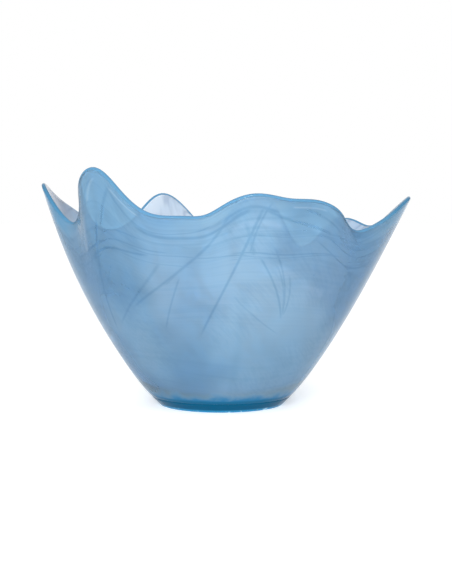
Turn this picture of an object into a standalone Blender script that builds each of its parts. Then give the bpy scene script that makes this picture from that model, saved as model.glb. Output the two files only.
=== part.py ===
"""A blown art glass bowl with a freely waved rim.

Four layers of glass make the bowl, as a glassmaker lays them down: a milky alabaster lining, a blue casing
over it, a solid foot pad under both, and a bead of glass along the lip. The two wall layers share one
middle surface: a turned bowl whose upper wall is pulled into flutes that follow the wave of the rim.

Metres, +Z up. The origin is the centre of the foot's flat underside, and -Y is the front.
"""

import math

import bpy
import numpy as np
from mathutils import Vector
from mathutils.geometry import interpolate_bezier

MM = 0.001

# Wall layers, measured across the glass.
CASING_THICKNESS = 1.6 * MM
LINING_THICKNESS = 1.4 * MM
LAYER_GAP = 0.3 * MM

# Solid foot under the bowl.
FOOT_HEIGHT = 7.0 * MM
FOOT_BOTTOM_RADIUS = 48.0 * MM
FOOT_TOP_RADIUS = 55.0 * MM
FOOT_EDGE_ROUND = 1.0 * MM

# Lip bead, and how far the wall's edge lies inside and below the crest of the lip.
BEAD_RADIUS = 1.8 * MM
LIP_LEAN = 1.7 * MM
LIP_RISE = 3.5 * MM

# Middle surface of the turned wall: from the heel to the even edge that the waves are pulled from.
FLOOR_Z = FOOT_HEIGHT + LAYER_GAP + CASING_THICKNESS + LAYER_GAP / 2
FLOOR_RADIUS = 51.0 * MM
HEEL = (55.6 * MM, 11.4 * MM)
HEEL_PULL = (74.8 * MM, 32.5 * MM)
EDGE_PULL = (113.3 * MM, 95.6 * MM)
EVEN_EDGE = (128.2 * MM, 140.5 * MM)

# The free-blown wall drifts this far towards +X between its heel and its edge.
EDGE_DRIFT = 0.7 * MM

# The flutes fade out down the wall as this power of the height share.
FLUTE_FADE = 4.0

# Resolution of the turned pieces and of the bead's round section.
TURN_STEPS = 96
WALL_RINGS = 9
BEAD_BEVEL_RESOLUTION = 2

# The crest of the lip round its own centre, anticlockwise from +X seen from above: angle in degrees, then
# radius and height in millimetres. Tips and peaks lean out and up, and the dips between them fold in.
RIM_WAVE = (
    (0, 141.5, 157.5),    # right tip
    (13, 134.5, 144.0),
    (29, 131.5, 135.0),
    (40, 130.0, 139.5),   # small peak, back right
    (49, 126.0, 126.5),
    (58, 122.0, 115.5),   # deepest dip, back right
    (65, 126.5, 130.0),
    (72, 131.5, 153.5),
    (80, 131.0, 155.0),   # broad peak, back
    (89, 128.0, 139.0),
    (96, 127.5, 131.0),   # dip, back
    (104, 130.5, 146.0),
    (113, 132.0, 160.0),  # peak, back
    (122, 129.5, 145.5),
    (131, 130.0, 131.5),
    (141, 129.5, 132.5),  # flat dip, back left
    (152, 133.0, 145.0),
    (165, 136.0, 158.0),
    (180, 136.0, 167.0),  # left tip
    (193, 126.0, 149.0),
    (205, 117.5, 139.5),  # tight fold, front left
    (212, 119.5, 151.0),
    (220, 128.5, 169.5),
    (227, 130.0, 177.5),  # tallest peak, front left
    (236, 128.0, 163.0),
    (246, 125.5, 147.0),
    (257, 121.0, 144.5),  # long dip, front
    (266, 123.5, 146.0),
    (273, 127.0, 154.5),
    (280, 129.5, 159.5),  # long shoulder, front right
    (290, 129.5, 156.5),
    (301, 127.5, 155.0),
    (309, 126.0, 149.0),
    (317, 120.0, 139.0),
    (326, 118.0, 133.5),  # dip, front right
    (338, 126.5, 141.0),
    (349, 135.0, 151.5),
)

CASING_LOOK = {"colour": (0.16, 0.40, 0.62, 1.0), "roughness": 0.08}
LINING_LOOK = {"colour": (0.58, 0.70, 0.82, 1.0), "roughness": 0.12}
BEAD_LOOK = {"colour": (0.08, 0.30, 0.55, 1.0), "roughness": 0.05}
FOOT_LOOK = {"colour": (0.03, 0.22, 0.36, 1.0), "roughness": 0.05}


def clear_scene():
    for obj in list(bpy.data.objects):
        bpy.data.objects.remove(obj, do_unlink=True)


def new_collection(name):
    collection = bpy.data.collections.new(name)
    bpy.context.scene.collection.children.link(collection)
    return collection


def new_material(name, look):
    material = bpy.data.materials.new(name)
    material.use_nodes = True
    shader = material.node_tree.nodes["Principled BSDF"]
    shader.inputs["Base Color"].default_value = look["colour"]
    shader.inputs["Roughness"].default_value = look["roughness"]
    shader.inputs["Metallic"].default_value = 0.0
    material.diffuse_color = look["colour"]
    return material


def finish_piece(obj, look):
    obj.data.materials.append(new_material(obj.name, look))
    if obj.type == "MESH":
        obj.data.shade_smooth()


def spline_slopes(spans, rises):
    """Slopes of the closed cubic spline, whose curvature is the same on both sides of each point."""
    count = len(spans)
    system = np.zeros((count, count))
    target = np.zeros(count)
    for i in range(count):
        after = (i + 1) % count
        system[i, i - 1] = spans[i]
        system[i, i] = 2 * (spans[i - 1] + spans[i])
        system[i, after] = spans[i - 1]
        target[i] = 3 * (spans[i] * rises[i - 1] + spans[i - 1] * rises[i])
    return np.linalg.solve(system, target)


def wave_reader(column):
    """A function that reads one column of the rim wave, in metres, at any angle in degrees."""
    angles = [row[0] for row in RIM_WAVE]
    values = [row[column] * MM for row in RIM_WAVE]
    count = len(angles)
    spans = [(angles[(i + 1) % count] - angles[i]) % 360 for i in range(count)]
    rises = [(values[(i + 1) % count] - values[i]) / spans[i] for i in range(count)]
    slopes = spline_slopes(spans, rises)

    def read(angle):
        angle = angle % 360
        start = max(i for i, first in enumerate(angles) if first <= angle)
        end = (start + 1) % count
        t = (angle - angles[start]) / spans[start]
        leaving = (1 + 2 * t) * values[start] + t * spans[start] * slopes[start]
        arriving = (3 - 2 * t) * values[end] + (t - 1) * spans[start] * slopes[end]
        return float((1 - t) ** 2 * leaving + t**2 * arriving)

    return read


crest_radius = wave_reader(1)
crest_height = wave_reader(2)


def flute(point):
    """Where a point of the even turned wall goes once the rim is waved."""
    radius = math.hypot(point.x, point.y)
    share = (point.z - HEEL[1]) / (EVEN_EDGE[1] - HEEL[1])
    if share <= 0 or radius == 0:
        return point.copy()
    angle = math.atan2(point.y, point.x)
    degrees = math.degrees(angle)
    pull = share**FLUTE_FADE
    waved_radius = radius + pull * (crest_radius(degrees) - LIP_LEAN - EVEN_EDGE[0])
    waved_height = point.z + pull * (crest_height(degrees) - LIP_RISE - EVEN_EDGE[1])
    drift = share * EDGE_DRIFT
    return Vector((drift + waved_radius * math.cos(angle), waved_radius * math.sin(angle), waved_height))


def wall_profile():
    """The even wall's middle line, from its edge down to the heel."""
    knots = [Vector((radius, 0.0, height)) for radius, height in (EVEN_EDGE, EDGE_PULL, HEEL_PULL, HEEL)]
    return interpolate_bezier(*knots, WALL_RINGS)


def turned_object(name, profile, collection):
    """A profile of points at +X, running down its outer side, turned round Z."""
    mesh = bpy.data.meshes.new(name)
    edges = [(i, i + 1) for i in range(len(profile) - 1)]
    mesh.from_pydata(profile, edges, [])
    obj = bpy.data.objects.new(name, mesh)
    collection.objects.link(obj)
    turn = obj.modifiers.new("turn", "SCREW")
    turn.axis = "Z"
    turn.steps = TURN_STEPS
    turn.render_steps = TURN_STEPS
    turn.use_merge_vertices = True
    turn.merge_threshold = 0.00001
    return obj


def middle_surface(collection):
    """The fluted mesh that both wall layers grow from."""
    floor = [Vector((FLOOR_RADIUS, 0.0, FLOOR_Z)), Vector((0.0, 0.0, FLOOR_Z))]
    blank = turned_object("blank", wall_profile() + floor, collection)
    graph = bpy.context.evaluated_depsgraph_get()
    mesh = bpy.data.meshes.new_from_object(blank.evaluated_get(graph))
    mesh.name = "fluted_wall"
    bpy.data.objects.remove(blank, do_unlink=True)
    for vertex in mesh.vertices:
        vertex.co = flute(vertex.co)
    return mesh


def wall_layer(name, surface, thickness, side, look, collection):
    """A layer of glass on one side of the middle surface: 1 is outside it and -1 is inside."""
    obj = bpy.data.objects.new(name, surface.copy())
    obj.data.name = name
    collection.objects.link(obj)
    shift = obj.modifiers.new("clearance", "DISPLACE")
    shift.direction = "NORMAL"
    shift.mid_level = 0.0
    shift.strength = side * LAYER_GAP / 2
    shell = obj.modifiers.new("thickness", "SOLIDIFY")
    shell.thickness = thickness
    shell.offset = side
    finish_piece(obj, look)


def foot_pad(collection):
    """The solid disc of glass that the bowl stands on, flaring with the wall above it."""
    profile = [
        Vector((0.0, 0.0, FOOT_HEIGHT)),
        Vector((FOOT_TOP_RADIUS, 0.0, FOOT_HEIGHT)),
        Vector((FOOT_BOTTOM_RADIUS, 0.0, 0.0)),
        Vector((0.0, 0.0, 0.0)),
    ]
    obj = turned_object("foot_pad", profile, collection)
    rounding = obj.modifiers.new("edge_round", "BEVEL")
    rounding.width = FOOT_EDGE_ROUND
    rounding.segments = 2
    rounding.limit_method = "ANGLE"
    rounding.angle_limit = math.radians(30)
    finish_piece(obj, FOOT_LOOK)


def edge_point(degrees, drop=0.0):
    """A point on the wall's edge, or a drop below it on the fluted middle surface."""
    lean = (EVEN_EDGE[0] - EDGE_PULL[0]) / (EVEN_EDGE[1] - EDGE_PULL[1])
    radius = EVEN_EDGE[0] - lean * drop
    angle = math.radians(degrees)
    return flute(Vector((radius * math.cos(angle), radius * math.sin(angle), EVEN_EDGE[1] - drop)))


def bead_centre(degrees):
    """A point of the bead's middle line: past the wall's edge, square to the edge and along the wall."""
    half_step = 0.5
    edge = edge_point(degrees)
    along = (edge_point(degrees + half_step) - edge_point(degrees - half_step)).normalized()
    up_wall = edge - edge_point(degrees, MM)
    square = (up_wall - up_wall.dot(along) * along).normalized()
    return edge + square * (BEAD_RADIUS + LAYER_GAP)


def lip_bead(collection):
    """The round bead of glass that follows the waved lip."""
    curve = bpy.data.curves.new("lip_bead", "CURVE")
    curve.dimensions = "3D"
    curve.bevel_depth = BEAD_RADIUS
    curve.bevel_resolution = BEAD_BEVEL_RESOLUTION
    spline = curve.splines.new("POLY")
    spline.points.add(TURN_STEPS - 1)
    for i, point in enumerate(spline.points):
        point.co = (*bead_centre(i * 360 / TURN_STEPS), 1.0)
    spline.use_cyclic_u = True
    obj = bpy.data.objects.new("lip_bead", curve)
    collection.objects.link(obj)
    finish_piece(obj, BEAD_LOOK)


def build():
    clear_scene()
    collection = new_collection("art_glass_bowl")
    surface = middle_surface(collection)
    wall_layer("blue_casing", surface, CASING_THICKNESS, 1, CASING_LOOK, collection)
    wall_layer("alabaster_lining", surface, LINING_THICKNESS, -1, LINING_LOOK, collection)
    bpy.data.meshes.remove(surface)
    lip_bead(collection)
    foot_pad(collection)


build()
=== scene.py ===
"""The look of the art glass bowl: a milky lining with veils and strands, cased in blue glass."""

import math

import bpy
import numpy as np
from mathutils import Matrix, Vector


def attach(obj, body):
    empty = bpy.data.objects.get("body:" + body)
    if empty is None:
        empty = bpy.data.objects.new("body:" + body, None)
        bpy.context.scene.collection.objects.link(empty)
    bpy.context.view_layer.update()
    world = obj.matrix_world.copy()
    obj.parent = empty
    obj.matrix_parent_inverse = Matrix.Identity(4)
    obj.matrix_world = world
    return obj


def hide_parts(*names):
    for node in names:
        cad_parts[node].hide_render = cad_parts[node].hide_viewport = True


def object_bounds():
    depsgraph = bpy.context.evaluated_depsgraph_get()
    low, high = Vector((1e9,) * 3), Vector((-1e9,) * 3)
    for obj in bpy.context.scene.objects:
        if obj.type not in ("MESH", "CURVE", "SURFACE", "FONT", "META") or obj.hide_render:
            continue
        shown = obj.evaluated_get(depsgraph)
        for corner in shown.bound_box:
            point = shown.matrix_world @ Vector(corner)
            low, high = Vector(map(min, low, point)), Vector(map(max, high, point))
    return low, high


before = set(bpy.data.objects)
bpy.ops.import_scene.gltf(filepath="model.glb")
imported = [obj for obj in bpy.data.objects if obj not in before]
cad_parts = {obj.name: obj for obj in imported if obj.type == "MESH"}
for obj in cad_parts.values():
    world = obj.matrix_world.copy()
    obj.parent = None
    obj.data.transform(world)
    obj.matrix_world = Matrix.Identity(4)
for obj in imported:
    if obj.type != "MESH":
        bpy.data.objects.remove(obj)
cad_low, cad_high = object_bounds()

MM = 0.001

# The bowl's wall, as the CAD model has it.
LAYER_GAP = 0.3 * MM
CASING_THICKNESS = 1.6 * MM
LINING_THICKNESS = 1.4 * MM
FOOT_HEIGHT = 7.0 * MM
LIP_LEAN = 1.7 * MM
LIP_RISE = 3.5 * MM
HEEL = (55.6 * MM, 11.4 * MM)
HEEL_PULL = (74.8 * MM, 32.5 * MM)
EDGE_PULL = (113.3 * MM, 95.6 * MM)
EVEN_EDGE = (128.2 * MM, 140.5 * MM)
EDGE_DRIFT = 0.7 * MM
FLUTE_FADE = 4.0
FLOOR_Z = FOOT_HEIGHT + LAYER_GAP + CASING_THICKNESS + LAYER_GAP / 2

# The crest of the lip round its own centre: angle in degrees, radius and height in millimetres.
RIM_WAVE = (
    (0, 141.5, 157.5),
    (13, 134.5, 144.0),
    (29, 131.5, 135.0),
    (40, 130.0, 139.5),
    (49, 126.0, 126.5),
    (58, 122.0, 115.5),
    (65, 126.5, 130.0),
    (72, 131.5, 153.5),
    (80, 131.0, 155.0),
    (89, 128.0, 139.0),
    (96, 127.5, 131.0),
    (104, 130.5, 146.0),
    (113, 132.0, 160.0),
    (122, 129.5, 145.5),
    (131, 130.0, 131.5),
    (141, 129.5, 132.5),
    (152, 133.0, 145.0),
    (165, 136.0, 158.0),
    (180, 136.0, 167.0),
    (193, 126.0, 149.0),
    (205, 117.5, 139.5),
    (212, 119.5, 151.0),
    (220, 128.5, 169.5),
    (227, 130.0, 177.5),
    (236, 128.0, 163.0),
    (246, 125.5, 147.0),
    (257, 121.0, 144.5),
    (266, 123.5, 146.0),
    (273, 127.0, 154.5),
    (280, 129.5, 159.5),
    (290, 129.5, 156.5),
    (301, 127.5, 155.0),
    (309, 126.0, 149.0),
    (317, 120.0, 139.0),
    (326, 118.0, 133.5),
    (338, 126.5, 141.0),
    (349, 135.0, 151.5),
)

TURN_STEPS = 420
WALL_RINGS = 100
FLOOR_RINGS = 14
HEEL_RINGS = 16
TURN_START = 40.0 * MM
TURN_PULL = 9.0 * MM
TURN_END_RING = 14
LIP_STEPS = 13
LIP_SEAM = 0.03 * MM
LAYER_SEAM = 0.04 * MM
LIP_REACH = 2.2 * MM
LIP_SLIMNESS = 0.95
SLIM_FROM = 0.6

BEAD_RADIUS = 1.8 * MM
POLE_RADIUS = 2 * MM
STEP_IN = 0.2 * MM
FLARE_MARGIN = 2 * MM
FLARE_RINGS = 3
CORNER_STEPS = 9
SIDE_START = 2.5 * MM
SIDE_RINGS = 5
FOOT_BOTTOM_RADIUS = 48.0 * MM
FOOT_CORNER = 1.6 * MM
FOOT_SEAM = 0.03 * MM


# ---------------------------------------------------------------- the fluted middle surface


def closed_spline(column):
    """Reads one column of the rim wave, in metres, at an array of angles in degrees."""
    angles = np.array([row[0] for row in RIM_WAVE], float)
    values = np.array([row[column] for row in RIM_WAVE], float) * MM
    count = len(angles)
    spans = (np.roll(angles, -1) - angles) % 360
    rises = (np.roll(values, -1) - values) / spans
    before = np.roll(spans, 1)
    system = np.zeros((count, count))
    for i in range(count):
        system[i, i - 1] = spans[i]
        system[i, i] = 2 * (before[i] + spans[i])
        system[i, (i + 1) % count] = before[i]
    slopes = np.linalg.solve(system, 3 * (spans * np.roll(rises, 1) + before * rises))

    def read(degrees):
        degrees = np.asarray(degrees) % 360
        start = np.searchsorted(angles, degrees, side="right") - 1
        end = (start + 1) % count
        t = (degrees - angles[start]) / spans[start]
        leaving = (1 + 2 * t) * values[start] + t * spans[start] * slopes[start]
        arriving = (3 - 2 * t) * values[end] + (t - 1) * spans[start] * slopes[end]
        return (1 - t) ** 2 * leaving + t**2 * arriving

    return read


crest_radius = closed_spline(1)
crest_height = closed_spline(2)


def bezier(knots, t):
    a, b, c, d = (np.array(knot) for knot in knots)
    t = t[:, None]
    return (1 - t) ** 3 * a + 3 * t * (1 - t) ** 2 * b + 3 * t**2 * (1 - t) * c + t**3 * d


def height_share(height):
    return (height - HEEL[1]) / (EVEN_EDGE[1] - HEEL[1])


def flute(degrees, radius, height):
    """Points of the waved bowl for points of the even one."""
    share = np.clip(height_share(height), 0, None)
    pull = share**FLUTE_FADE
    angle = np.radians(degrees)
    waved_radius = radius + pull * (crest_radius(degrees) - LIP_LEAN - EVEN_EDGE[0])
    waved_height = height + pull * (crest_height(degrees) - LIP_RISE - EVEN_EDGE[1])
    across = share * EDGE_DRIFT + waved_radius * np.cos(angle)
    return np.stack([across, waved_radius * np.sin(angle), waved_height], axis=-1)


def even_point(degrees, radius, height):
    angle = np.radians(degrees)
    return np.stack([radius * np.cos(angle), radius * np.sin(angle), height], axis=-1)


def unit(vectors):
    return vectors / np.linalg.norm(vectors, axis=-1, keepdims=True)


DEGREES = np.arange(TURN_STEPS) * 360 / TURN_STEPS


def wall_line():
    """The even bowl's middle line, from the heel up to the edge."""
    return bezier((HEEL, HEEL_PULL, EDGE_PULL, EVEN_EDGE), np.linspace(0, 1, WALL_RINGS))


def cavity_line():
    """The same line with a floor, and a rounder turn between the two where the glass is thick."""
    radii = np.linspace(POLE_RADIUS, TURN_START, FLOOR_RINGS)
    floor = np.stack([radii, np.full(FLOOR_RINGS, FLOOR_Z)], axis=-1)
    wall = wall_line()
    end, beyond = wall[TURN_END_RING], wall[TURN_END_RING + 1]
    lead = unit(end - beyond) * TURN_PULL
    turn = ((TURN_START, FLOOR_Z), (TURN_START + TURN_PULL, FLOOR_Z), tuple(end + lead), tuple(end))
    heel = bezier(turn, np.linspace(0, 1, HEEL_RINGS))
    return np.concatenate([floor, heel[1:-1], wall[TURN_END_RING:]])


class Surface:
    """The fluted middle surface as rings of points, with their outward normals and even points."""

    def __init__(self, line):
        degrees = np.broadcast_to(DEGREES, (len(line), TURN_STEPS))
        radius = np.broadcast_to(line[:, :1], degrees.shape)
        height = np.broadcast_to(line[:, 1:], degrees.shape)
        self.points = flute(degrees, radius, height)
        self.even = even_point(degrees, radius, height)
        self.share = height_share(line[:, 1])
        self.along = unit(np.roll(self.points, -1, axis=1) - np.roll(self.points, 1, axis=1))
        self.up = unit(np.gradient(self.points, axis=0))
        self.normals = unit(np.cross(self.along, self.up))
        lean = self.up[-1]
        edge = self.along[-1]
        self.square = unit(lean - (lean * edge).sum(axis=-1, keepdims=True) * edge)
        self.rim = len(line) - 1
        self.extend(LIP_REACH / 2)
        self.extend(LIP_REACH)
        nearness = np.clip((self.share - SLIM_FROM) / (1 - SLIM_FROM), 0, 1)
        self.slimness = 1 - (1 - LIP_SLIMNESS) * nearness**2

    def extend(self, rise):
        """Adds a ring past the wall's edge, square to it, where the lip begins."""
        edge = self.rim
        share = self.share[edge] * (1 + rise / EVEN_EDGE[1])
        self.points = np.concatenate([self.points, [self.points[edge] + rise * self.square]])
        self.even = np.concatenate([self.even, [self.even[edge] + (0, 0, rise)]])
        self.normals = np.concatenate([self.normals, [self.normals[edge]]])
        self.share = np.append(self.share, share)

    def rings(self, shift, skin):
        """A layer's face, a shift out from the middle surface, as rings from the bottom up."""
        found = []
        for i, points in enumerate(self.points):
            reach = shift * self.slimness[i]
            found.append((points + reach * self.normals[i], self.even[i], self.share[i], skin))
        return found


OUTSIDE = Surface(wall_line())
CAVITY = Surface(cavity_line())


# ---------------------------------------------------------------- meshes


def store_layers(mesh, rings, poles):
    """Keeps each vertex's place on the even bowl and its side of the glass, and unwraps it."""
    evens = [ring[1] for ring in rings] + [ring[1].mean(axis=0)[None] for ring in poles]
    counts = [TURN_STEPS] * len(rings) + [1] * len(poles)
    shares = np.repeat([float(ring[2]) for ring in rings + poles], counts)
    skins = np.repeat([float(ring[3]) for ring in rings + poles], counts)
    turns = np.concatenate([np.tile(DEGREES / 360, len(rings)), np.full(len(poles), 0.5)])
    even = mesh.attributes.new("even", "FLOAT_VECTOR", "POINT")
    even.data.foreach_set("vector", np.concatenate(evens).ravel())
    mesh.attributes.new("skin", "FLOAT", "POINT").data.foreach_set("value", skins)
    corners = np.zeros(len(mesh.loops), int)
    mesh.loops.foreach_get("vertex_index", corners)
    uv = np.stack([turns[corners], shares[corners]], axis=-1)
    for face in mesh.polygons:
        span = slice(face.loop_start, face.loop_start + face.loop_total)
        if np.ptp(uv[span, 0]) > 0.6:
            uv[span, 0] += uv[span, 0] < 0.5
    mesh.uv_layers.new(name="wall").data.foreach_set("uv", uv.ravel())


def turned_body(name, rings, closed=False):
    """A closed body through full-turn rings of (points, even points, share, skin).

    Seen in section the rings run anticlockwise at +X. Unless closed, each end has a fan.
    """
    count = len(rings)
    poles = [] if closed else [rings[0], rings[-1]]
    centres = [ring[0].mean(axis=0)[None] for ring in poles]
    vertices = np.concatenate([ring[0] for ring in rings] + centres)
    turn = np.arange(TURN_STEPS)
    after = (turn + 1) % TURN_STEPS
    faces = []
    for i in range(count if closed else count - 1):
        low = i * TURN_STEPS
        high = (i + 1) % count * TURN_STEPS
        faces += np.stack([low + turn, low + after, high + after, high + turn], axis=-1).tolist()
    if not closed:
        first = count * TURN_STEPS
        last = (count - 1) * TURN_STEPS
        faces += np.stack([first + 0 * turn, after, turn], axis=-1).tolist()
        faces += np.stack([first + 1 + 0 * turn, last + turn, last + after], axis=-1).tolist()
    mesh = bpy.data.meshes.new(name)
    mesh.from_pydata(vertices.tolist(), [], faces)
    mesh.update()
    store_layers(mesh, rings, poles)
    mesh.shade_smooth()
    obj = bpy.data.objects.new(name, mesh)
    bpy.context.scene.collection.objects.link(obj)
    return obj


def lining_body(name):
    """The milky lining: the cavity's floor and wall, inside the middle surface."""
    up = CAVITY.rings(-LAYER_SEAM / 2, 1)
    down = CAVITY.rings(-LAYER_GAP / 2 - LINING_THICKNESS, 0)
    return turned_body(name, up + down[::-1])


def round_ring(radius, height):
    points = even_point(DEGREES, np.full(TURN_STEPS, radius), np.full(TURN_STEPS, height))
    return points, points, height_share(height), 1


def flare_line():
    """The bottom and top of the straight flare from the foot's corner to the heel, in section."""
    top = OUTSIDE.rings(LAYER_GAP / 2 + CASING_THICKNESS, 1)[0][0][0]
    return np.array((FOOT_BOTTOM_RADIUS, FOOT_CORNER / 2)), np.array((top[0], top[2]))


def flare_radius(height):
    low, high = flare_line()
    return low[0] + (high[0] - low[0]) * (height - low[1]) / (high[1] - low[1])


def casing_body(name):
    """The blue casing: a floor on the foot, a thick heel, and the wall up to the lip."""
    bottom = FOOT_HEIGHT + FOOT_SEAM
    reach = flare_radius(bottom)
    radii = np.linspace(POLE_RADIUS, reach - STEP_IN, FLOOR_RINGS)
    base = [round_ring(radius, bottom) for radius in radii]
    heights = np.linspace(bottom + STEP_IN, HEEL[1] - FLARE_MARGIN, FLARE_RINGS)
    base += [round_ring(flare_radius(height), height) for height in heights]
    up = OUTSIDE.rings(LAYER_GAP / 2 + CASING_THICKNESS, 1)
    down = CAVITY.rings(LAYER_SEAM / 2, 0)
    return turned_body(name, base + up + down[::-1])


def foot_body(name):
    """The solid foot: flat underneath, a rounded corner, and a side that flares into the heel."""
    low, high = flare_line()
    lean = math.atan2(high[1] - low[1], high[0] - low[0])
    corner = (FOOT_BOTTOM_RADIUS - FOOT_CORNER, FOOT_CORNER)
    section = [(radius, 0.0) for radius in np.linspace(POLE_RADIUS, corner[0] - MM, FLOOR_RINGS)]
    for angle in np.linspace(-math.pi / 2, lean - math.pi / 2, CORNER_STEPS):
        across = corner[0] + FOOT_CORNER * math.cos(angle)
        section.append((across, corner[1] + FOOT_CORNER * math.sin(angle)))
    top = FOOT_HEIGHT - FOOT_SEAM
    side = np.linspace(SIDE_START, top - STEP_IN, SIDE_RINGS)
    section += [(flare_radius(height), height) for height in side]
    radii = np.linspace(flare_radius(top) - STEP_IN, POLE_RADIUS, FLOOR_RINGS)
    section += [(radius, top) for radius in radii]
    return turned_body(name, [round_ring(*point) for point in section])


def lip_body(name):
    """The fire-polished lip: a rounded cap on the wall's edge, as thick as the wall is there."""
    outer = LIP_SLIMNESS * (LAYER_GAP / 2 + CASING_THICKNESS)
    inner = -LIP_SLIMNESS * (LAYER_GAP / 2 + LINING_THICKNESS)
    middle = (outer + inner) / 2
    half = (outer - inner) / 2
    top = 2 * BEAD_RADIUS + LAYER_GAP
    seam = LIP_REACH + LIP_SEAM
    section = [(middle, seam), (outer - LIP_SEAM, seam)]
    for angle in np.linspace(0, math.pi, LIP_STEPS):
        section.append((middle + half * math.cos(angle), seam + (top - seam) * math.sin(angle)))
    section.append((inner + LIP_SEAM, seam))
    edge = OUTSIDE.rim
    rings = []
    for across, rise in section:
        points = OUTSIDE.points[edge] + across * OUTSIDE.normals[edge] + rise * OUTSIDE.square
        rings.append((points, OUTSIDE.even[edge], 1.0, 1))
    return turned_body(name, rings, closed=True)


# ---------------------------------------------------------------- shaders


WHITE = (1, 1, 1, 1)
CASING_DEEP = (0.21, 0.375, 0.52, 1)
CASING_PALE = (0.28, 0.445, 0.58, 1)
# The pale milk below paints highlights and a lighter centre front onto the casing.
PAINTED_HIGHLIGHT_MILK = (0.54, 0.66, 0.76, 1)
CASING_INSIDE = (0.9, 0.96, 1.0, 1)
STRAND_SHADE = (0.66, 0.77, 0.84, 1)
TIP_BLUE = (0.065, 0.21, 0.36, 1)
HEEL_BLUE = (0.02, 0.155, 0.31, 1)
HEEL_TEAL = (0.004, 0.11, 0.22, 1)
LINING_BLUE = (0.77, 0.86, 1.0, 1)
LINING_WHITE = (0.90, 0.94, 1.0, 1)
LINING_VEIL = (0.50, 0.57, 0.70, 1)
LINING_LOW = (0.38, 0.68, 0.95, 1)
LINING_RIGHT_TIP = (0.14, 0.34, 0.54, 1)
LINING_LEFT_TIP = (0.78, 0.86, 1.0, 1)
LIP_BLUE = (0.15, 0.36, 0.56, 1)
FOOT_TEAL = (0.002, 0.105, 0.21, 1)
# Painted highlight and painted glints on the foot's lowest edge.
FOOT_PAINTED_EDGE_LIGHT = (0.04, 0.31, 0.56, 1)
FOOT_PAINTED_GLINT = (0.52, 0.80, 0.94, 1)
PAPER = (0.96, 0.96, 0.96, 1)

# How the glass bends and passes light. Where there are two shares passed, they are at the low
# and the high end of a pattern. Absorption is a colour and a density per metre.
CLEAR_IOR = 1.12
MILKY_IOR = 1.15
POLISH = 0.03
LIP_POLISH = 0.02
LINING_ROUGHNESS = 0.05
CASING_PASSED = (0.64, 0.56)
LINING_PASSED = (0.60, 0.46)
LINING_SKIN_PASSED = 0.95
LIP_PASSED = (0.45, 0.08)
FOOT_PASSED = 0.3
CASING_COAT = 0.06
LINING_COAT = 0.4
CASING_ABSORPTION = ((0.0, 0.58, 0.78), 340.0)
LIP_ABSORPTION = ((0.0, 0.62, 0.80), 250.0)
FOOT_ABSORPTION = ((0.0, 0.66, 0.78), 50.0)

# Where a pattern starts and ends: in height, across the bowl, or in share of the wall's height.
HEEL_HEIGHTS = (10.0 * MM, 18.0 * MM)
HEEL_MOTTLE = 2.0 * MM
TEAL_HEIGHTS = (8.0 * MM, 11.5 * MM)
LOW_HEIGHTS = (9.0 * MM, 32.0 * MM)
# Heights over which the painted highlight on the foot's lowest edge fades out.
FOOT_HIGHLIGHT_HEIGHTS = (1.0 * MM, 2.6 * MM)
TIP_DEPTHS = (30 * MM, 62 * MM)
TIP_SHARES = (0.91, 0.97)
RING_SHARES = (0.62, 0.90)
RIGHT_HALF = (0.0, 50 * MM)

# How strongly each pattern of the casing counts toward the strands' shade.
RINGS_COVER = 0.45
BRUSHED_COVER = 0.20
SEEDS_COVER = 0.9


class Nodes:
    """Short calls for building a material's node tree."""

    def __init__(self, tree):
        self.tree = tree

    def add(self, kind, values=(), **settings):
        node = self.tree.nodes.new(kind)
        for key, value in settings.items():
            setattr(node, key, value)
        for socket, value in dict(values).items():
            self.feed(node.inputs[socket], value)
        return node

    def feed(self, socket, value):
        if isinstance(value, bpy.types.NodeSocket):
            self.tree.links.new(value, socket)
        else:
            socket.default_value = value

    def math(self, operation, a, b=0.0, clamp=False):
        node = self.add("ShaderNodeMath", {0: a, 1: b}, operation=operation, use_clamp=clamp)
        return node.outputs[0]

    def vector(self, operation, a, b):
        return self.add("ShaderNodeVectorMath", {0: a, 1: b}, operation=operation).outputs[0]

    def ramp(self, value, low, high, out_low=0.0, out_high=1.0):
        span = {"From Min": low, "From Max": high, "To Min": out_low, "To Max": out_high}
        values = {"Value": value, **span}
        node = self.add("ShaderNodeMapRange", values, interpolation_type="SMOOTHSTEP")
        return node.outputs["Result"]

    def blend(self, share, a, b):
        node = self.add("ShaderNodeMix", data_type="RGBA")
        self.feed(node.inputs[0], share)
        self.feed(node.inputs[6], a)
        self.feed(node.inputs[7], b)
        return node.outputs[2]

    def noise(self, vector, scale, detail=2.0, roughness=0.5):
        values = {"Vector": vector, "Scale": scale, "Detail": detail, "Roughness": roughness}
        return self.add("ShaderNodeTexNoise", values).outputs["Fac"]


def new_material(name):
    material = bpy.data.materials.new(name)
    material.use_nodes = True
    tree = material.node_tree
    tree.nodes.clear()
    nodes = Nodes(tree)
    shader = nodes.add("ShaderNodeBsdfPrincipled")
    output = nodes.add("ShaderNodeOutputMaterial", {"Surface": shader.outputs[0]})
    return material, nodes, shader, output


def absorb(nodes, output, colour, density):
    """Colours the light by how far it travels through the glass."""
    volume = nodes.add("ShaderNodeVolumeAbsorption", {"Color": (*colour, 1), "Density": density})
    nodes.feed(output.inputs["Volume"], volume.outputs[0])


# How much wider and fainter all the strands are than their rows say.
STRAND_SPREAD = 1.35
STRAND_FADE = 0.85

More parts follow.
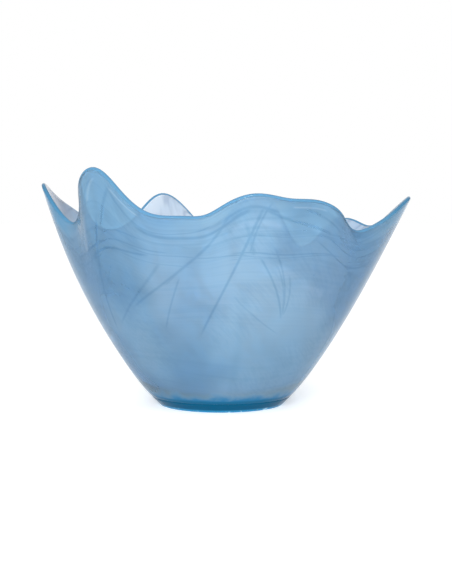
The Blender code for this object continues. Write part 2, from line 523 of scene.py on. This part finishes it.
# Cords of denser blue glass drawn out through the wall, as the gatherer's turn left them:
# angle and height share of both ends, sideways bow and half width in degrees, and strength.
CORDS = (
    (283.5, 1.00, 260.6, 0.38, 0.8, 0.7, 1.0),
    (285.4, 1.00, 279.4, 0.79, -1.2, 0.5, 0.8),
    (277.0, 0.93, 280.7, 0.78, 0.4, 0.9, 0.6),
    (234.0, 1.01, 226.8, 0.84, -0.5, 0.7, 0.7),
    (226.3, 0.90, 216.1, 0.38, -1.6, 0.7, 0.9),
    (228.0, 0.71, 221.1, 0.61, 0.0, 0.6, 0.4),
    (222.0, 0.93, 226.5, 0.99, -2.3, 0.8, 0.6),
    (274.3, 1.00, 231.4, 0.51, 3.3, 1.0, 0.8),
    (267.3, 0.90, 249.0, 0.66, 0.0, 0.5, 0.6),
    (255.5, 0.72, 245.8, 0.42, 0.1, 0.5, 0.7),
    (249.4, 0.80, 220.3, 0.42, 3.0, 0.9, 0.6),
    (282.0, 0.79, 294.9, 0.47, 1.6, 0.6, 0.8),
    (287.0, 0.83, 294.9, 0.48, 2.0, 0.5, 0.7),
    (288.8, 0.75, 294.6, 0.50, 1.4, 0.5, 0.6),
    (293.8, 0.71, 295.2, 0.49, 1.4, 0.5, 0.6),
    (274.3, 0.61, 295.7, 0.39, -2.4, 0.7, 0.5),
    (279.0, 0.70, 277.0, 0.05, 0.0, 3.0, 0.25),
    (111.0, 1.00, 104.0, 0.70, 0.0, 0.8, 0.9),
    (119.0, 1.00, 110.5, 0.88, 1.5, 0.9, 0.7),
    (116.5, 1.01, 110.5, 0.91, 1.5, 0.7, 0.6),
    (84.0, 1.00, 92.0, 0.60, -2.0, 0.9, 0.7),
    (70.0, 0.98, 78.0, 0.45, 3.0, 1.0, 0.6),
    (40.0, 0.98, 58.0, 0.40, 4.0, 1.0, 0.7),
    (20.0, 0.95, 12.0, 0.30, -3.0, 1.1, 0.6),
    (150.0, 0.97, 163.0, 0.35, -4.0, 1.0, 0.7),
    (175.0, 0.95, 186.0, 0.30, 3.0, 1.0, 0.6),
    (320.0, 0.80, 338.0, 0.25, 4.0, 1.0, 0.5),
)

# Bands that follow the lip: angle and height share of both ends, upward bow and half width
# in share, and strength.
BANDS = (
    (231.0, 0.99, 249.5, 0.93, -0.010, 0.009, 0.7),
    (240.0, 0.94, 281.0, 0.98, -0.042, 0.010, 1.0),
    (242.0, 0.95, 267.5, 0.97, -0.024, 0.004, 0.7),
    (225.0, 0.81, 260.5, 0.86, 0.049, 0.004, 0.6),
    (223.5, 0.78, 253.0, 0.84, 0.023, 0.004, 0.7),
    (217.5, 0.75, 246.0, 0.82, -0.004, 0.006, 1.0),
    (236.0, 0.82, 284.0, 0.77, 0.024, 0.004, 0.7),
    (230.0, 0.77, 262.0, 0.76, 0.016, 0.003, 0.5),
    (205.0, 0.82, 227.0, 0.80, -0.022, 0.006, 1.0),
    (202.0, 0.78, 225.0, 0.75, -0.021, 0.004, 0.8),
    (191.0, 0.99, 205.5, 0.90, 0.012, 0.004, 0.8),
    (187.0, 0.94, 204.0, 0.88, 0.019, 0.004, 0.7),
    (186.0, 0.88, 205.0, 0.85, 0.012, 0.004, 0.6),
    (240.0, 0.90, 268.0, 0.90, -0.020, 0.010, 0.5),
    (270.0, 0.96, 288.0, 0.96, 0.016, 0.008, 0.9),
    (282.0, 0.97, 309.0, 0.90, -0.006, 0.008, 0.8),
    (296.0, 0.98, 313.0, 0.93, 0.005, 0.006, 0.6),
    (301.0, 0.87, 343.0, 0.80, -0.059, 0.005, 0.9),
    (305.0, 0.89, 345.0, 0.86, -0.032, 0.005, 0.8),
    (308.0, 0.92, 348.0, 0.90, -0.022, 0.004, 0.7),
    (312.0, 0.95, 350.0, 0.93, -0.013, 0.004, 0.7),
    (303.0, 0.89, 343.0, 0.99, 0.000, 0.006, 0.5),
    (271.0, 0.81, 313.0, 0.82, -0.020, 0.004, 0.8),
    (271.0, 0.79, 318.0, 0.83, -0.027, 0.003, 0.7),
    (272.0, 0.78, 290.0, 0.78, -0.008, 0.003, 0.6),
    (272.0, 0.87, 314.0, 0.90, -0.013, 0.003, 0.5),
    (280.0, 0.88, 300.0, 0.90, 0.005, 0.003, 0.5),
    (160.0, 0.71, 78.0, 0.68, -0.020, 0.004, 0.5),
    (157.0, 0.75, 36.0, 0.80, -0.060, 0.004, 0.5),
    (112.0, 0.90, 37.0, 0.92, -0.030, 0.005, 0.5),
    (60.0, 0.93, 10.0, 0.93, -0.040, 0.008, 0.7),
    (150.0, 0.93, 112.0, 0.92, -0.050, 0.008, 0.7),
    (14.0, 0.90, -22.0, 0.88, 0.040, 0.006, 0.6),
)

# Painted highlights: paler streaks and lip glints, and soft clouds of painted reflection that make
# the front's centre lighter, all laid in as paler milk. Rows as above.
PAINTED_HIGHLIGHT_CORDS = (
    (218.2, 0.92, 215.0, 0.78, 0.0, 1.8, 0.9),
    (227.2, 0.99, 222.8, 0.93, -1.0, 0.9, 0.7),
)
PAINTED_HIGHLIGHT_BANDS = (
    (238.0, 0.62, 326.0, 0.64, 0.0, 0.340, 0.62),
    (258.0, 0.61, 286.0, 0.52, 0.0, 0.055, 0.75),
    (248.0, 0.64, 266.0, 0.67, 0.0, 0.025, 0.5),
    (287.0, 0.74, 314.0, 0.59, 0.0, 0.065, 0.9),
    (252.0, 0.78, 276.0, 0.80, 0.010, 0.030, 0.5),
    (272.0, 0.90, 290.0, 0.91, 0.010, 0.020, 0.6),
    (232.0, 0.99, 244.0, 0.99, 0.000, 0.005, 0.9),
    (291.0, 0.99, 305.0, 0.99, 0.000, 0.005, 0.9),
)


def strand_group():
    """How strongly a soft tapered line covers a point: 1 on the line and 0 away from it."""
    group = bpy.data.node_groups.new("strand", "ShaderNodeTree")
    names = ("Along", "Across", "Along Start", "Along End", "Across Start", "Across End")
    for name in (*names, "Bow", "Half Width"):
        group.interface.new_socket(name, in_out="INPUT", socket_type="NodeSocketFloat")
    group.interface.new_socket("Cover", in_out="OUTPUT", socket_type="NodeSocketFloat")
    nodes = Nodes(group)
    given = nodes.add("NodeGroupInput").outputs
    span = nodes.math("SUBTRACT", given["Along End"], given["Along Start"])
    gone = nodes.math("SUBTRACT", given["Along"], given["Along Start"])
    t = nodes.math("DIVIDE", gone, span, clamp=True)
    hump = nodes.math("MULTIPLY", nodes.math("MULTIPLY", t, nodes.math("SUBTRACT", 1.0, t)), 4.0)
    drift = nodes.math("SUBTRACT", given["Across End"], given["Across Start"])
    line = nodes.math("ADD", given["Across Start"], nodes.math("MULTIPLY", drift, t))
    line = nodes.math("ADD", line, nodes.math("MULTIPLY", hump, given["Bow"]))
    away = nodes.math("ABSOLUTE", nodes.math("SUBTRACT", given["Across"], line))
    share = nodes.math("DIVIDE", away, given["Half Width"])
    core = nodes.ramp(share, 0.0, 1.0, 1.0, 0.0)
    taper = nodes.ramp(hump, 0.0, 0.45)
    cover = nodes.math("MULTIPLY", core, taper)
    nodes.add("NodeGroupOutput", {"Cover": cover})
    return group


def strands(nodes, wall, cords, bands):
    """All the rows of two tables together, from the wall's unwrapped angle and height share."""
    parts = nodes.add("ShaderNodeSeparateXYZ", {0: wall}).outputs
    degrees = nodes.math("MULTIPLY", parts["X"], 360.0)
    share = parts["Y"]
    total = None
    for table, along, across in ((cords, share, degrees), (bands, degrees, share)):
        for row in table:
            deg_a, share_a, deg_b, share_b, bow, half, strength = row
            ends = (deg_a, deg_b, share_a, share_b)
            if table is cords:
                ends = (share_a, share_b, deg_a, deg_b)
            node = nodes.add("ShaderNodeGroup", node_tree=STRAND)
            values = (along, across, *ends, bow, half * STRAND_SPREAD)
            for socket, value in zip(node.inputs, values):
                nodes.feed(socket, value)
            part = nodes.math("MULTIPLY", node.outputs[0], strength * STRAND_FADE)
            total = part if total is None else nodes.math("MAXIMUM", total, part)
    return total


def stretched(nodes, even, scale, turn=0.0):
    """Coordinates on the even bowl, twisted by some radians a metre of height, then scaled."""
    if turn:
        height = nodes.add("ShaderNodeSeparateXYZ", {0: even}).outputs["Z"]
        angle = nodes.math("MULTIPLY", height, turn)
        values = {"Vector": even, "Angle": angle}
        even = nodes.add("ShaderNodeVectorRotate", values, rotation_type="Z_AXIS").outputs[0]
    return nodes.vector("MULTIPLY", even, scale)


def warped(nodes, even, scale, strength):
    """Coordinates on the even bowl, pushed about by a soft noise."""
    values = {"Vector": even, "Scale": scale, "Detail": 1.0}
    push = nodes.add("ShaderNodeTexNoise", values).outputs["Color"]
    centred = nodes.vector("SUBTRACT", push, (0.5, 0.5, 0.5))
    scaling = {0: centred, "Scale": strength}
    shift = nodes.add("ShaderNodeVectorMath", scaling, operation="SCALE").outputs[0]
    return nodes.vector("ADD", even, shift)


def near_tips(nodes, even):
    """1 at the two pointed tips, on the left and the right, and 0 along the rest of the lip."""
    depth = nodes.add("ShaderNodeSeparateXYZ", {0: even}).outputs["Y"]
    return nodes.ramp(nodes.math("ABSOLUTE", depth), *TIP_DEPTHS, 1.0, 0.0)


def wall_patterns(nodes):
    """The fields that both wall layers share: clouds, rings along the lip, brush lines, seeds."""
    even = nodes.add("ShaderNodeAttribute", attribute_name="even").outputs["Vector"]
    wall = nodes.add("ShaderNodeUVMap", uv_map="wall").outputs["UV"]
    share = nodes.add("ShaderNodeSeparateXYZ", {0: wall}).outputs["Y"]
    height = nodes.add("ShaderNodeSeparateXYZ", {0: even}).outputs["Z"]
    drifted = warped(nodes, even, 9.0, 0.035)
    cloud = nodes.ramp(nodes.noise(drifted, 13.0, 2.0), 0.32, 0.68)
    fine_rings = nodes.noise(stretched(nodes, drifted, (6.0, 6.0, 420.0)), 1.0, 2.0)
    rings = nodes.ramp(fine_rings, 0.42, 0.72)
    near_lip = nodes.ramp(share, *RING_SHARES)
    ring_share = nodes.math("ADD", nodes.math("MULTIPLY", near_lip, 0.60), 0.40)
    across = nodes.add("ShaderNodeSeparateXYZ", {0: even}).outputs
    at_tips = near_tips(nodes, even)
    brushed = nodes.noise(stretched(nodes, drifted, (420.0, 420.0, 22.0), 9.0), 1.0, 2.0)
    brushed_where = nodes.ramp(nodes.noise(even, 22.0, 1.0), 0.48, 0.62)
    specks = nodes.add("ShaderNodeTexVoronoi", {"Vector": even, "Scale": 95.0}).outputs
    lot = nodes.add("ShaderNodeSeparateColor", {0: specks["Color"]}).outputs[0]
    seeds = nodes.ramp(specks["Distance"], 0.05, 0.10, 1.0, 0.0)
    seeds = nodes.math("MULTIPLY", seeds, nodes.math("GREATER_THAN", lot, 0.93))
    return {
        "even": even,
        "height": height,
        "drifted": drifted,
        "cloud": cloud,
        "rings": nodes.math("MULTIPLY", rings, ring_share),
        "brushed": nodes.math("MULTIPLY", nodes.ramp(brushed, 0.40, 0.66), brushed_where),
        "wall": wall,
        "seeds": seeds,
        "tips": nodes.math("MULTIPLY", at_tips, nodes.ramp(share, *TIP_SHARES)),
        "right": nodes.ramp(across["X"], *RIGHT_HALF),
        "grain": nodes.ramp(fine_rings, 0.30, 0.60, 0.6, 1.0),
    }


def glass(shader, nodes, roughness, transmission, ior):
    nodes.feed(shader.inputs["Roughness"], roughness)
    nodes.feed(shader.inputs["IOR"], ior)
    nodes.feed(shader.inputs["Transmission Weight"], transmission)


def heel_depth(nodes, field):
    """How deep in the thick heel a point lies: 0 on the wall, a mottled start, 1 at the foot."""
    spots = nodes.noise(field["even"], 90.0, 3.0)
    mottle = nodes.ramp(spots, 0.25, 0.75, -HEEL_MOTTLE, HEEL_MOTTLE)
    height = nodes.math("ADD", field["height"], mottle)
    return nodes.ramp(height, *HEEL_HEIGHTS, 1.0, 0.0)


def heel_tint(nodes, field, deep, colour):
    """Deepens the blue toward the thick glass at the bottom, and to teal just above the foot."""
    colour = nodes.blend(deep, colour, HEEL_BLUE)
    teal = nodes.ramp(field["height"], *TEAL_HEIGHTS, 1.0, 0.0)
    return nodes.blend(teal, colour, HEEL_TEAL)


def casing_material():
    """Blue glass, with denser cords and bands, a little of the lining's milk in its skin, and
    painted highlights in paler milk.
    """
    material, nodes, shader, output = new_material("casing_glass")
    field = wall_patterns(nodes)
    skin = nodes.add("ShaderNodeAttribute", attribute_name="skin").outputs["Fac"]
    tint = nodes.blend(field["cloud"], CASING_DEEP, CASING_PALE)
    # Painted highlights: paler streaks, lip glints and a lighter centre front, painted into the
    # casing's colour as milk.
    painted_highlight = strands(nodes, field["wall"], PAINTED_HIGHLIGHT_CORDS, PAINTED_HIGHLIGHT_BANDS)
    painted_highlight = nodes.math("MULTIPLY", painted_highlight, field["grain"])
    tint = nodes.blend(nodes.math("MULTIPLY", painted_highlight, 0.55), tint, PAINTED_HIGHLIGHT_MILK)
    cover = strands(nodes, field["wall"], CORDS, BANDS)
    cover = nodes.math("ADD", cover, nodes.math("MULTIPLY", field["rings"], RINGS_COVER))
    cover = nodes.math("ADD", cover, nodes.math("MULTIPLY", field["brushed"], BRUSHED_COVER))
    seeds = nodes.math("MULTIPLY", field["seeds"], SEEDS_COVER)
    cover = nodes.math("ADD", cover, seeds, clamp=True)
    dense = nodes.blend(cover, WHITE, STRAND_SHADE)
    outer = nodes.vector("MULTIPLY", tint, dense)
    outer = nodes.blend(nodes.math("MULTIPLY", field["tips"], 0.8), outer, TIP_BLUE)
    deep = heel_depth(nodes, field)
    outer = heel_tint(nodes, field, deep, outer)
    nodes.feed(shader.inputs["Base Color"], nodes.blend(skin, CASING_INSIDE, outer))
    passed = nodes.ramp(field["cloud"], 0, 1, *CASING_PASSED)
    opaque = nodes.math("MULTIPLY", nodes.math("MAXIMUM", deep, field["tips"]), 0.75)
    passed = nodes.math("MULTIPLY", passed, nodes.math("SUBTRACT", 1.0, opaque))
    passed = nodes.math("MAXIMUM", passed, nodes.math("SUBTRACT", 1.0, skin))
    glass(shader, nodes, POLISH, passed, CLEAR_IOR)
    nodes.feed(shader.inputs["Coat Weight"], nodes.math("MULTIPLY", skin, CASING_COAT))
    nodes.feed(shader.inputs["Coat Roughness"], POLISH)
    ripple = nodes.noise(field["drifted"], 45.0, 2.0)
    height = nodes.math("ADD", ripple, nodes.math("MULTIPLY", field["rings"], 0.12))
    bump = nodes.add("ShaderNodeBump", {"Height": height, "Strength": 0.12, "Distance": 0.6 * MM})
    nodes.feed(shader.inputs["Normal"], bump.outputs[0])
    absorb(nodes, output, *CASING_ABSORPTION)
    return material


def lining_material():
    """Milky alabaster glass: white clouds, grey veils, and blue at the right tip and low down."""
    material, nodes, shader, output = new_material("lining_glass")
    field = wall_patterns(nodes)
    skin = nodes.add("ShaderNodeAttribute", attribute_name="skin").outputs["Fac"]
    veil_at = warped(nodes, field["even"], 16.0, 0.06)
    veil_at = stretched(nodes, veil_at, (1.0, 1.0, 0.45), 6.0)
    veil_line = nodes.math("SUBTRACT", nodes.noise(veil_at, 38.0, 3.0), 0.5)
    veil_line = nodes.math("ABSOLUTE", veil_line)
    veil = nodes.ramp(veil_line, 0.0, 0.07, 1.0, 0.0)
    tint = nodes.blend(field["cloud"], LINING_BLUE, LINING_WHITE)
    tint = nodes.blend(nodes.math("MULTIPLY", veil, 0.65), tint, LINING_VEIL)
    low = nodes.ramp(field["height"], *LOW_HEIGHTS, 1.0, 0.0)
    tint = nodes.blend(low, tint, LINING_LOW)
    edge = nodes.math("MULTIPLY", field["tips"], field["right"])
    tint = nodes.blend(edge, tint, LINING_RIGHT_TIP)
    left = nodes.math("SUBTRACT", field["tips"], edge)
    tint = nodes.blend(left, tint, LINING_LEFT_TIP)
    nodes.feed(shader.inputs["Base Color"], tint)
    passed = nodes.ramp(field["cloud"], 0, 1, *LINING_PASSED)
    passed = nodes.math("MULTIPLY", passed, nodes.ramp(edge, 0.0, 1.0, 1.0, 0.4))
    outside = nodes.math("MULTIPLY", skin, LINING_SKIN_PASSED)
    glass(shader, nodes, LINING_ROUGHNESS, nodes.math("MAXIMUM", passed, outside), MILKY_IOR)
    nodes.feed(shader.inputs["Coat Weight"], nodes.ramp(skin, 0, 1, LINING_COAT, 0.0))
    nodes.feed(shader.inputs["Coat Roughness"], POLISH)
    return material


def lip_material():
    """The lip, where the casing's blue shows deepest, most of all at the tips."""
    material, nodes, shader, output = new_material("lip_glass")
    even = nodes.add("ShaderNodeAttribute", attribute_name="even").outputs["Vector"]
    at_tips = near_tips(nodes, even)
    tint = nodes.blend(at_tips, LIP_BLUE, TIP_BLUE)
    nodes.feed(shader.inputs["Base Color"], tint)
    passed = nodes.ramp(at_tips, 0.0, 1.0, *LIP_PASSED)
    glass(shader, nodes, LIP_POLISH, passed, MILKY_IOR)
    absorb(nodes, output, *LIP_ABSORPTION)
    return material


def foot_material():
    """Thick clear glass, teal from its depth, with a painted highlight and painted glints along its
    lowest edge, for light caught there.
    """
    material, nodes, shader, output = new_material("foot_glass")
    even = nodes.add("ShaderNodeAttribute", attribute_name="even").outputs["Vector"]
    height = nodes.add("ShaderNodeSeparateXYZ", {0: even}).outputs["Z"]
    # A painted highlight: the lowest edge is painted a brighter blue with white glints, for light
    # caught by the rounded corner.
    low = nodes.ramp(height, *FOOT_HIGHLIGHT_HEIGHTS, 1.0, 0.0)
    painted_glint = nodes.ramp(nodes.noise(even, 260.0, 2.0), 0.56, 0.66)
    edge = nodes.blend(painted_glint, FOOT_PAINTED_EDGE_LIGHT, FOOT_PAINTED_GLINT)
    nodes.feed(shader.inputs["Base Color"], nodes.blend(low, FOOT_TEAL, edge))
    glass(shader, nodes, POLISH, FOOT_PASSED, CLEAR_IOR)
    absorb(nodes, output, *FOOT_ABSORPTION)
    return material


STRAND = strand_group()


# ---------------------------------------------------------------- the pieces


def place(piece, node, material):
    piece.data.materials.append(material)
    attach(piece, "root")
    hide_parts(node)


place(casing_body("casing"), "blue_casing", casing_material())
place(lining_body("lining"), "alabaster_lining", lining_material())
place(lip_body("lip"), "lip_bead", lip_material())
place(foot_body("foot"), "foot_pad", foot_material())


# ---------------------------------------------------------------- floor, light and camera


FLOOR_DROP = -0.1 * MM
FLOOR_REACH = 6.0
FLOOR_GLOW = 0.45


def add_floor():
    mesh = bpy.data.meshes.new("floor")
    signs = ((-1, -1), (1, -1), (1, 1), (-1, 1))
    corners = [(x * FLOOR_REACH, y * FLOOR_REACH, FLOOR_DROP) for x, y in signs]
    mesh.from_pydata(corners, [], [(0, 1, 2, 3)])
    obj = bpy.data.objects.new("floor", mesh)
    bpy.context.scene.collection.objects.link(obj)
    material, nodes, shader, _ = new_material("floor_paper")
    nodes.feed(shader.inputs["Base Color"], PAPER)
    nodes.feed(shader.inputs["Roughness"], 0.9)
    nodes.feed(shader.inputs["Specular IOR Level"], 0.0)
    nodes.feed(shader.inputs["Emission Color"], WHITE)
    nodes.feed(shader.inputs["Emission Strength"], FLOOR_GLOW)
    mesh.materials.append(material)


def add_softbox(name, place_at, aim, size, power):
    light = bpy.data.lights.new(name, "AREA")
    light.shape = "RECTANGLE"
    light.size, light.size_y = size
    light.energy = power
    obj = bpy.data.objects.new(name, light)
    obj.location = place_at
    obj.rotation_euler = (Vector(aim) - Vector(place_at)).to_track_quat("-Z", "Y").to_euler()
    bpy.context.scene.collection.objects.link(obj)


SIDE_LIGHT = 0.36
SIDE_SPAN = (0.26, 0.60)
FRONT_SPAN = (-0.8, -0.1)


def add_world():
    """Even white light, softer from the two sides, except where it comes from the front."""
    world = bpy.data.worlds.new("studio")
    bpy.context.scene.world = world
    world.use_nodes = True
    nodes = Nodes(world.node_tree)
    toward = nodes.add("ShaderNodeTexCoord").outputs["Generated"]
    parts = nodes.add("ShaderNodeSeparateXYZ", {0: toward}).outputs
    aside = nodes.ramp(nodes.math("ABSOLUTE", parts["X"]), *SIDE_SPAN)
    behind = nodes.ramp(parts["Y"], *FRONT_SPAN)
    flagged = nodes.math("MULTIPLY", aside, behind)
    background = world.node_tree.nodes["Background"]
    nodes.feed(background.inputs["Strength"], nodes.ramp(flagged, 0.0, 1.0, 1.0, SIDE_LIGHT))
    background.inputs["Color"].default_value = WHITE


SOFTBOX_AT = (-0.2, -2.4, 0.8)
SOFTBOX_AIM = (0, 0, 0.08)
SOFTBOX_SIZE = (1.0, 0.8)
SOFTBOX_POWER = 50

CAMERA_DISTANCE = 1.0
CAMERA_HEIGHT = 0.159
CAMERA_SIDE = 0.3 * MM
CAMERA_TILT = 4.23
CAMERA_LENS = 81.2


def add_camera():
    camera = bpy.data.cameras.new("camera")
    camera.lens = CAMERA_LENS
    camera.sensor_width = 36
    camera.clip_start = 0.01
    obj = bpy.data.objects.new("camera", camera)
    middle = (cad_low[0] + cad_high[0]) / 2
    obj.location = (middle + CAMERA_SIDE, -CAMERA_DISTANCE, CAMERA_HEIGHT)
    obj.rotation_euler = (math.radians(90 - CAMERA_TILT), 0, 0)
    bpy.context.scene.collection.objects.link(obj)
    bpy.context.scene.camera = obj


add_floor()
add_world()
add_softbox("front_softbox", SOFTBOX_AT, SOFTBOX_AIM, SOFTBOX_SIZE, SOFTBOX_POWER)
add_camera()
bpy.context.scene.view_settings.view_transform = "Standard"
